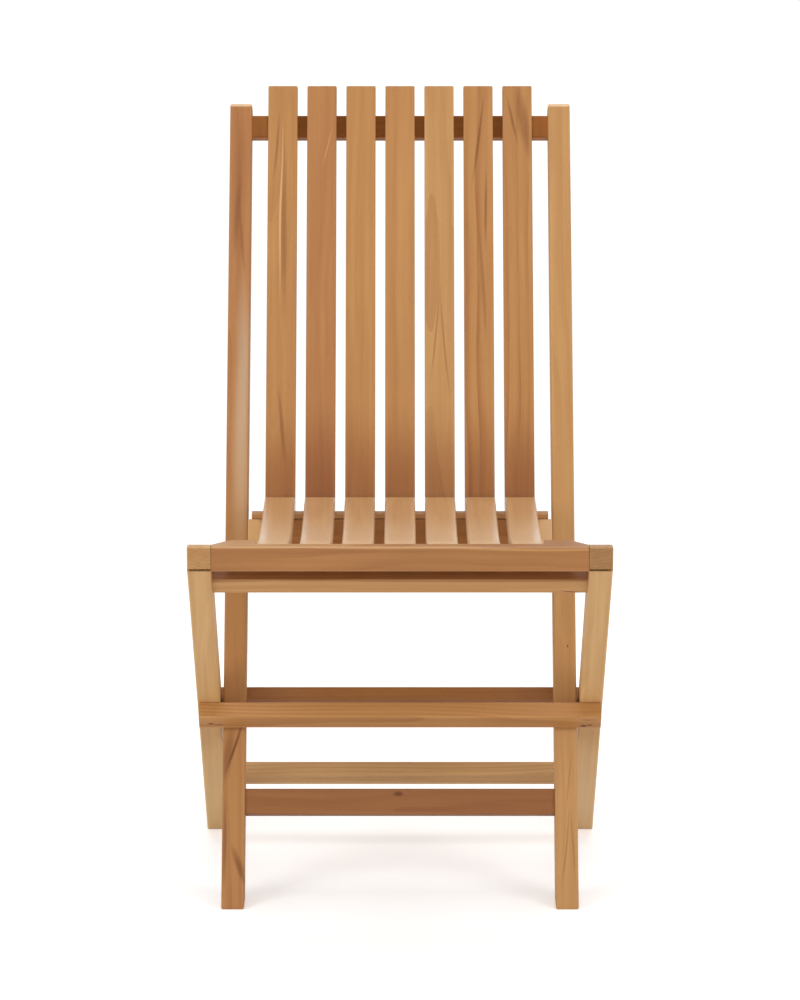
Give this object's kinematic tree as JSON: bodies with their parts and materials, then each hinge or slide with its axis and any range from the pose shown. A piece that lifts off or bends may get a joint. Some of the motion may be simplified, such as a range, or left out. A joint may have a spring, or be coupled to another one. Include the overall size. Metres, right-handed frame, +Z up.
{
  "type": "folding chair",
  "caption": "Folding slatted wooden chair: leaning back with straight slats, hollow-curved slatted seat hinged on crossed rear legs.",
  "frame": {"origin": "on the floor, under the middle of the chair's overall box when it is open", "axes": "+Z up, -Y towards the chair's front, +X to the right of a viewer who faces the chair's front"},
  "size_m": [0.457, 0.5463, 0.8644],
  "materials": {
    "teak": "oiled",
    "brass": "brushed"
  },
  "bodies": {
    "back_frame": {"left_post": "teak", "right_post": "teak", "back_top_rail": "teak", "back_lower_rail": "teak", "back_slat_1": "teak", "back_slat_2": "teak", "back_slat_3": "teak", "back_slat_4": "teak", "back_slat_5": "teak", "back_slat_6": "teak", "back_slat_7": "teak", "front_stretcher": "teak", "left_crossing_bolt": "brass", "right_crossing_bolt": "brass", "left_crossing_nut": "brass", "right_crossing_nut": "brass", "left_crossing_spacer": "brass", "right_crossing_spacer": "brass"},
    "rear_legs": {"left_rear_leg": "teak", "right_rear_leg": "teak", "leg_top_rail": "teak", "middle_front_bar": "teak", "middle_rear_bar": "teak", "rear_stretcher": "teak", "left_hinge_lower_leaf": "brass", "right_hinge_lower_leaf": "brass", "left_hinge_pin": "brass", "right_hinge_pin": "brass"},
    "seat": {"seat_front_board": "teak", "left_corner_block": "teak", "right_corner_block": "teak", "seat_slat_1": "teak", "seat_slat_2": "teak", "seat_slat_3": "teak", "seat_slat_4": "teak", "seat_slat_5": "teak", "seat_slat_6": "teak", "seat_slat_7": "teak", "seat_rear_batten": "teak", "left_hinge_upper_leaf": "brass", "right_hinge_upper_leaf": "brass"}
  },
  "joints": [
    {"name": "rear_legs_fold", "type": "hinge", "parent": "back_frame", "child": "rear_legs", "pos_m": [0, -0.06349, 0.201], "axis": [-1, 0, 0], "range_deg": [0, 62.5]},
    {"name": "seat_fold", "type": "hinge", "parent": "rear_legs", "child": "seat", "pos_m": [0, -0.27175, 0.418], "axis": [1, 0, 0], "range_deg": [0, 125]}
  ],
  "couplings": [
    {"joint": "seat_fold", "follows": "rear_legs_fold", "ratio": 2}
  ]
}
